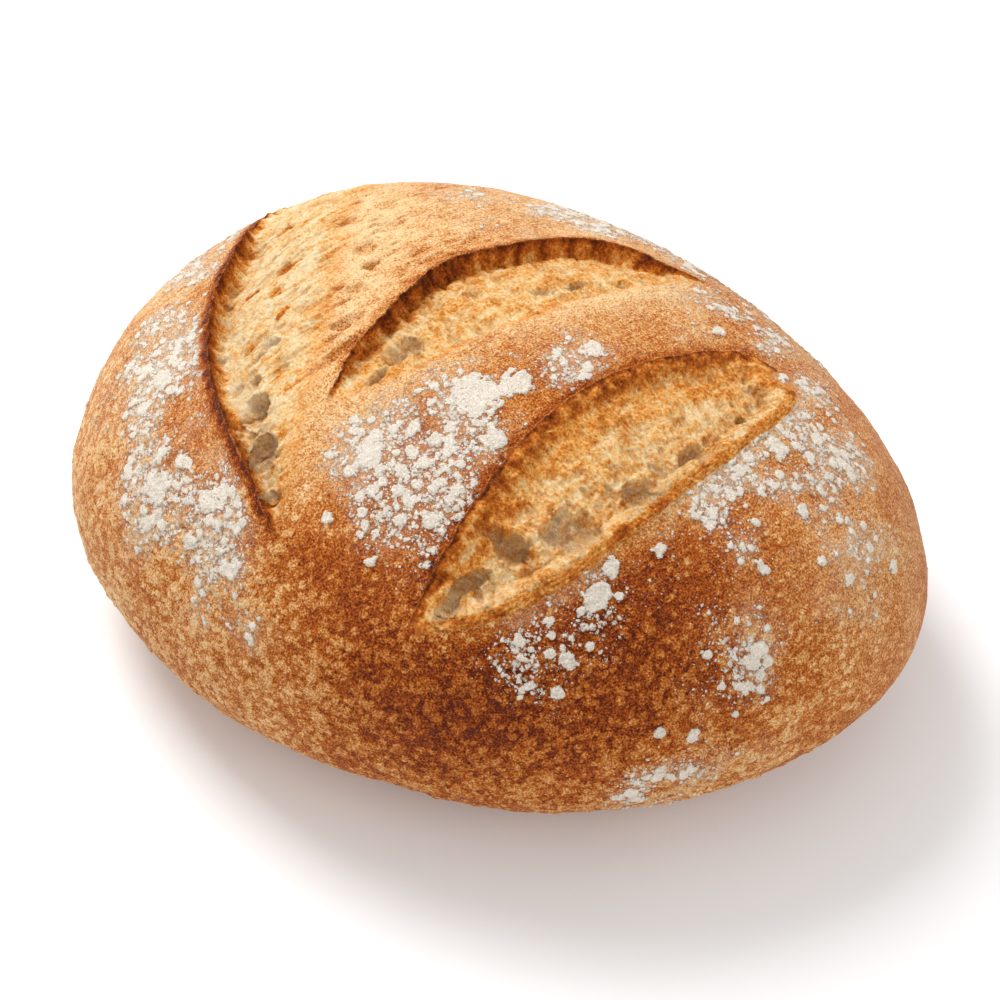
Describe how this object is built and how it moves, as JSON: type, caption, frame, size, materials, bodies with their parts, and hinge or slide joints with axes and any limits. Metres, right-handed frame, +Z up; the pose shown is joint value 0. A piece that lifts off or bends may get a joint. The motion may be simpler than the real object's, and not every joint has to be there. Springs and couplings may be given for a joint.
{
  "type": "sourdough loaf",
  "caption": "Round-ended hand-shaped sourdough loaf with three opened slashes across its top, resting on a small flat spot.",
  "frame": {"origin": "centre of the loaf's bounding box on the plane that it rests on", "axes": "+X along the loaf's length, +Y across its width away from the largest slash's lower end, +Z up"},
  "size_m": [0.25, 0.197, 0.106],
  "materials": {
    "crust": "matte baked crust, golden to chestnut brown, dusted with white flour, with pale cream crumb in the slashes"
  },
  "bodies": {
    "root": {"loaf": "crust"}
  },
  "joints": []
}
